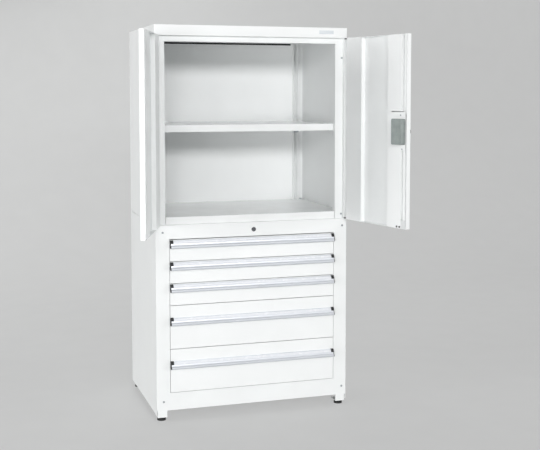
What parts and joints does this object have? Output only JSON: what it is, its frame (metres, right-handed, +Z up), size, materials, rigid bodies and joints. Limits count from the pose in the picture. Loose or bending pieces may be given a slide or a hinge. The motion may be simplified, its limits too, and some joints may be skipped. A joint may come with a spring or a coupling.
{
  "type": "double door cabinet",
  "caption": "Tall steel workshop cabinet: upper case with two hinged doors and a shelf, lower case with stacked drawers that lock together, on levelling feet",
  "frame": {"origin": "on the floor under the middle of the case's 880 by 600 footprint", "axes": "+X to the right seen from the front, +Y to the back wall, +Z up; doors and drawers open toward -Y"},
  "size_m": [1.1489, 1.0453, 1.719],
  "materials": {
    "badge": "bare pale plate",
    "black_plastic": "black moulded",
    "buffer_rubber": "soft black",
    "chrome": "polished",
    "grey_plastic": "grey moulded",
    "handle_metal": "satin anodised",
    "powder_coat": "light grey powder coat",
    "white_plastic": "white moulded",
    "zinc": "bright zinc plated"
  },
  "bodies": {
    "case": {"lower_side_left": "powder_coat", "lower_side_right": "powder_coat", "lower_back": "powder_coat", "lower_bottom": "powder_coat", "lower_top": "powder_coat", "lower_frame": "powder_coat", "rail_supports": "powder_coat", "case_rails": "zinc", "legs": "powder_coat", "levelling_feet": "black_plastic", "fasteners": "zinc", "lock_housing": "chrome", "upper_side_left": "powder_coat", "upper_side_right": "powder_coat", "upper_back": "powder_coat", "top_cap": "powder_coat", "floor_panel": "powder_coat", "upper_frame": "powder_coat", "uprights": "powder_coat", "shelf": "powder_coat", "shelf_clips": "zinc", "badge_plate": "badge", "hinge_bases": "powder_coat", "hinge_washers": "black_plastic"},
    "left_door": {"left_door_skin": "powder_coat", "left_door_stiles": "powder_coat", "left_hinge_leaves": "powder_coat"},
    "right_door": {"right_door_skin": "powder_coat", "right_door_stiles": "powder_coat", "right_hinge_leaves": "powder_coat", "lock_plate": "powder_coat", "lock_case": "grey_plastic", "rod_guide": "white_plastic", "door_buffers": "buffer_rubber", "handle_base": "grey_plastic"},
    "turn_handle": {"door_handle": "black_plastic"},
    "rod_up": {"lock_rod_top": "powder_coat"},
    "rod_down": {"lock_rod_low": "powder_coat"},
    "key_plug": {"lock_plug": "zinc"},
    "locking_bar": {"lock_bar": "zinc"},
    "drawer_body_1": {"drawer_1": "powder_coat", "handle_1": "handle_metal", "handle_caps_1": "black_plastic"},
    "slide_pair_1": {"mid_rails_1": "zinc"},
    "drawer_body_2": {"drawer_2": "powder_coat", "handle_2": "handle_metal", "handle_caps_2": "black_plastic"},
    "slide_pair_2": {"mid_rails_2": "zinc"},
    "drawer_body_3": {"drawer_3": "powder_coat", "handle_3": "handle_metal", "handle_caps_3": "black_plastic"},
    "slide_pair_3": {"mid_rails_3": "zinc"},
    "drawer_body_4": {"drawer_4": "powder_coat", "handle_4": "handle_metal", "handle_caps_4": "black_plastic"},
    "slide_pair_4": {"mid_rails_4": "zinc"},
    "drawer_body_5": {"drawer_5": "powder_coat", "handle_5": "handle_metal", "handle_caps_5": "black_plastic"},
    "slide_pair_5": {"mid_rails_5": "zinc"}
  },
  "joints": [
    {"name": "left_door_swing", "type": "hinge", "parent": "case", "child": "left_door", "pos_m": [-0.446, -0.307, 1.267], "axis": [0, 0, -1], "range_deg": [-109, 151]},
    {"name": "right_door_swing", "type": "hinge", "parent": "case", "child": "right_door", "pos_m": [0.446, -0.307, 1.267], "axis": [0, 0, 1], "range_deg": [-103.9, 156.1]},
    {"name": "handle_turn", "type": "hinge", "parent": "right_door", "child": "turn_handle", "pos_m": [0.54596, -0.69845, 1.267], "axis": [-0.9707, -0.2402, 0], "range_deg": [0, 90]},
    {"name": "rod_up_slide", "type": "slide", "parent": "right_door", "child": "rod_up", "axis": [0, 0, 1], "range_m": [0, 0.017]},
    {"name": "rod_down_slide", "type": "slide", "parent": "right_door", "child": "rod_down", "axis": [0, 0, -1], "range_m": [0, 0.017]},
    {"name": "key_turn", "type": "hinge", "parent": "case", "child": "key_plug", "pos_m": [0, -0.3, 0.8272], "axis": [0, 1, 0], "range_deg": [0, 90]},
    {"name": "bar_drop", "type": "slide", "parent": "case", "child": "locking_bar", "axis": [0, 0, -1], "range_m": [0, 0.0198]},
    {"name": "drawer_1_pull", "type": "slide", "parent": "case", "child": "drawer_body_1", "axis": [0, -1, 0], "range_m": [0, 0.52]},
    {"name": "slide_1_run", "type": "slide", "parent": "case", "child": "slide_pair_1", "axis": [0, -1, 0], "range_m": [0, 0.26]},
    {"name": "drawer_2_pull", "type": "slide", "parent": "case", "child": "drawer_body_2", "axis": [0, -1, 0], "range_m": [0, 0.52]},
    {"name": "slide_2_run", "type": "slide", "parent": "case", "child": "slide_pair_2", "axis": [0, -1, 0], "range_m": [0, 0.26]},
    {"name": "drawer_3_pull", "type": "slide", "parent": "case", "child": "drawer_body_3", "axis": [0, -1, 0], "range_m": [0, 0.52]},
    {"name": "slide_3_run", "type": "slide", "parent": "case", "child": "slide_pair_3", "axis": [0, -1, 0], "range_m": [0, 0.26]},
    {"name": "drawer_4_pull", "type": "slide", "parent": "case", "child": "drawer_body_4", "axis": [0, -1, 0], "range_m": [0, 0.52]},
    {"name": "slide_4_run", "type": "slide", "parent": "case", "child": "slide_pair_4", "axis": [0, -1, 0], "range_m": [0, 0.26]},
    {"name": "drawer_5_pull", "type": "slide", "parent": "case", "child": "drawer_body_5", "axis": [0, -1, 0], "range_m": [0, 0.52]},
    {"name": "slide_5_run", "type": "slide", "parent": "case", "child": "slide_pair_5", "axis": [0, -1, 0], "range_m": [0, 0.26]}
  ],
  "couplings": [
    {"joint": "rod_up_slide", "follows": "handle_turn", "m_per_rad": 0.010803},
    {"joint": "rod_down_slide", "follows": "handle_turn", "m_per_rad": 0.010803},
    {"joint": "key_turn", "follows": "bar_drop", "rad_per_m": 79.333},
    {"joint": "slide_1_run", "follows": "drawer_1_pull", "ratio": 0.5},
    {"joint": "slide_2_run", "follows": "drawer_2_pull", "ratio": 0.5},
    {"joint": "slide_3_run", "follows": "drawer_3_pull", "ratio": 0.5},
    {"joint": "slide_4_run", "follows": "drawer_4_pull", "ratio": 0.5},
    {"joint": "slide_5_run", "follows": "drawer_5_pull", "ratio": 0.5}
  ]
}
